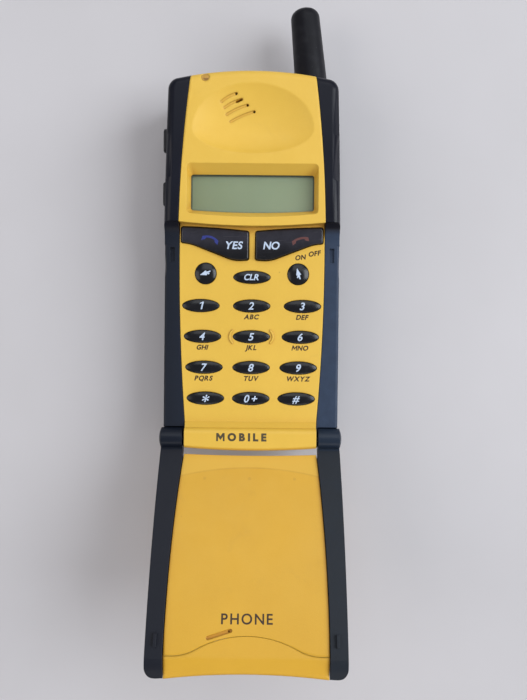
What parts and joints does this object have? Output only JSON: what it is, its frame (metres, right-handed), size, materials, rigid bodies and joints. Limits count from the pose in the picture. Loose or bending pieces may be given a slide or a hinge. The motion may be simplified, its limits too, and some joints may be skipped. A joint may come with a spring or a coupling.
{
  "type": "mobile phone",
  "caption": "Mobile phone with a hinged mouthpiece flip standing open, a stub antenna, a framed display, sprung keys and a clip-on battery.",
  "frame": {"origin": "middle of the flat back, on the surface that the phone rests on", "axes": "+Z out of the front face, +Y towards the antenna along the handset, +X to the right seen from the front"},
  "size_m": [0.051, 0.1779, 0.0453],
  "materials": {
    "dark_paint": "satin dark blue-grey lacquer over moulded plastic",
    "band_paint": "semi-gloss warm yellow, fine texture",
    "key_black": "glossy black cap, moulded legend",
    "side_key": "matte dark rubber",
    "black_plastic": "moulded black",
    "white_plastic": "translucent white moulding",
    "antenna_rubber": "smooth matte rubber",
    "rubber": "matte",
    "window": "clear hard-coated acrylic",
    "lens": "clear lens",
    "lcd": "grey-green liquid crystal panel",
    "cell_wrap": "plain metal cans",
    "gold_contacts": "gold plated",
    "spring_steel": "bright",
    "tinned_steel": "tinned",
    "board": "green solder mask",
    "flex": "amber film",
    "card": "white card"
  },
  "bodies": {
    "handset": {"front_frame": "dark_paint", "front_panel": "band_paint", "rear_shell": "dark_paint", "battery_case": "dark_paint", "battery_cells": "cell_wrap", "battery_contacts": "gold_contacts", "contact_springs": "gold_contacts", "latch_spring": "spring_steel", "display_window": "window", "lcd_glass": "lcd", "lcd_holder": "white_plastic", "earpiece": "black_plastic", "earpiece_gasket": "rubber", "status_lens": "lens", "status_led": "lens", "buzzer": "black_plastic", "main_board": "board", "shield_cans": "tinned_steel", "sim_holder": "black_plastic", "sim_card": "card", "backup_cell": "spring_steel", "side_switches": "tinned_steel", "rf_connector": "gold_contacts", "rf_plug": "rubber", "system_connector": "black_plastic", "system_contacts": "gold_contacts", "case_screws": "spring_steel", "antenna_sleeve": "antenna_rubber", "antenna_ferrule": "gold_contacts", "antenna_coil": "gold_contacts", "keypad_mat": "rubber", "key_domes": "spring_steel", "hinge_spring": "spring_steel"},
    "flip": {"flip_frame": "dark_paint", "flip_inner_panel": "band_paint", "flip_cover": "band_paint", "microphone": "spring_steel", "flip_flex": "flex", "hinge_pins": "spring_steel", "flip_bumpers": "rubber"},
    "latch": {"battery_latch": "black_plastic"},
    "key_yes_body": {"key_yes": "key_black"},
    "key_no_body": {"key_no": "key_black"},
    "key_clear_body": {"key_clear": "key_black"},
    "key_left_body": {"key_left": "key_black"},
    "key_right_body": {"key_right": "key_black"},
    "key_1_body": {"key_1": "key_black"},
    "key_2_body": {"key_2": "key_black"},
    "key_3_body": {"key_3": "key_black"},
    "key_4_body": {"key_4": "key_black"},
    "key_5_body": {"key_5": "key_black"},
    "key_6_body": {"key_6": "key_black"},
    "key_7_body": {"key_7": "key_black"},
    "key_8_body": {"key_8": "key_black"},
    "key_9_body": {"key_9": "key_black"},
    "key_star_body": {"key_star": "key_black"},
    "key_0_body": {"key_0": "key_black"},
    "key_hash_body": {"key_hash": "key_black"},
    "volume_up_key_body": {"volume_up_key": "side_key"},
    "volume_down_key_body": {"volume_down_key": "side_key"}
  },
  "joints": [
    {"name": "flip_hinge", "type": "hinge", "parent": "handset", "child": "flip", "pos_m": [0, -0.0492, 0.0206], "axis": [-1, 0, 0], "range_deg": [0, 153.6]},
    {"name": "key_yes_press", "type": "slide", "parent": "handset", "child": "key_yes_body", "axis": [0, 0, -1], "range_m": [0, 0.0005], "stiffness_N_per_m": 1000, "springref_m": -0.001},
    {"name": "key_no_press", "type": "slide", "parent": "handset", "child": "key_no_body", "axis": [0, 0, -1], "range_m": [0, 0.0005], "stiffness_N_per_m": 1000, "springref_m": -0.001},
    {"name": "key_clear_press", "type": "slide", "parent": "handset", "child": "key_clear_body", "axis": [0, 0, -1], "range_m": [0, 0.0005], "stiffness_N_per_m": 1000, "springref_m": -0.001},
    {"name": "key_left_press", "type": "slide", "parent": "handset", "child": "key_left_body", "axis": [0, 0, -1], "range_m": [0, 0.0005], "stiffness_N_per_m": 1000, "springref_m": -0.001},
    {"name": "key_right_press", "type": "slide", "parent": "handset", "child": "key_right_body", "axis": [0, 0, -1], "range_m": [0, 0.0005], "stiffness_N_per_m": 1000, "springref_m": -0.001},
    {"name": "key_1_press", "type": "slide", "parent": "handset", "child": "key_1_body", "axis": [0, 0, -1], "range_m": [0, 0.0005], "stiffness_N_per_m": 1000, "springref_m": -0.001},
    {"name": "key_2_press", "type": "slide", "parent": "handset", "child": "key_2_body", "axis": [0, 0, -1], "range_m": [0, 0.0005], "stiffness_N_per_m": 1000, "springref_m": -0.001},
    {"name": "key_3_press", "type": "slide", "parent": "handset", "child": "key_3_body", "axis": [0, 0, -1], "range_m": [0, 0.0005], "stiffness_N_per_m": 1000, "springref_m": -0.001},
    {"name": "key_4_press", "type": "slide", "parent": "handset", "child": "key_4_body", "axis": [0, 0, -1], "range_m": [0, 0.0005], "stiffness_N_per_m": 1000, "springref_m": -0.001},
    {"name": "key_5_press", "type": "slide", "parent": "handset", "child": "key_5_body", "axis": [0, 0, -1], "range_m": [0, 0.0005], "stiffness_N_per_m": 1000, "springref_m": -0.001},
    {"name": "key_6_press", "type": "slide", "parent": "handset", "child": "key_6_body", "axis": [0, 0, -1], "range_m": [0, 0.0005], "stiffness_N_per_m": 1000, "springref_m": -0.001},
    {"name": "key_7_press", "type": "slide", "parent": "handset", "child": "key_7_body", "axis": [0, 0, -1], "range_m": [0, 0.0005], "stiffness_N_per_m": 1000, "springref_m": -0.001},
    {"name": "key_8_press", "type": "slide", "parent": "handset", "child": "key_8_body", "axis": [0, 0, -1], "range_m": [0, 0.0005], "stiffness_N_per_m": 1000, "springref_m": -0.001},
    {"name": "key_9_press", "type": "slide", "parent": "handset", "child": "key_9_body", "axis": [0, 0, -1], "range_m": [0, 0.0005], "stiffness_N_per_m": 1000, "springref_m": -0.001},
    {"name": "key_star_press", "type": "slide", "parent": "handset", "child": "key_star_body", "axis": [0, 0, -1], "range_m": [0, 0.0005], "stiffness_N_per_m": 1000, "springref_m": -0.001},
    {"name": "key_0_press", "type": "slide", "parent": "handset", "child": "key_0_body", "axis": [0, 0, -1], "range_m": [0, 0.0005], "stiffness_N_per_m": 1000, "springref_m": -0.001},
    {"name": "key_hash_press", "type": "slide", "parent": "handset", "child": "key_hash_body", "axis": [0, 0, -1], "range_m": [0, 0.0005], "stiffness_N_per_m": 1000, "springref_m": -0.001},
    {"name": "volume_up_key_press", "type": "slide", "parent": "handset", "child": "volume_up_key_body", "axis": [1, 0, 0], "range_m": [0, 0.0005], "stiffness_N_per_m": 1000, "springref_m": -0.001},
    {"name": "volume_down_key_press", "type": "slide", "parent": "handset", "child": "volume_down_key_body", "axis": [1, 0, 0], "range_m": [0, 0.0005], "stiffness_N_per_m": 1000, "springref_m": -0.001},
    {"name": "battery_latch_slide", "type": "slide", "parent": "handset", "child": "latch", "axis": [0, 1, 0], "range_m": [0, 0.0018], "stiffness_N_per_m": 400, "springref_m": -0.002, "deforming": ["latch_spring"]}
  ]
}
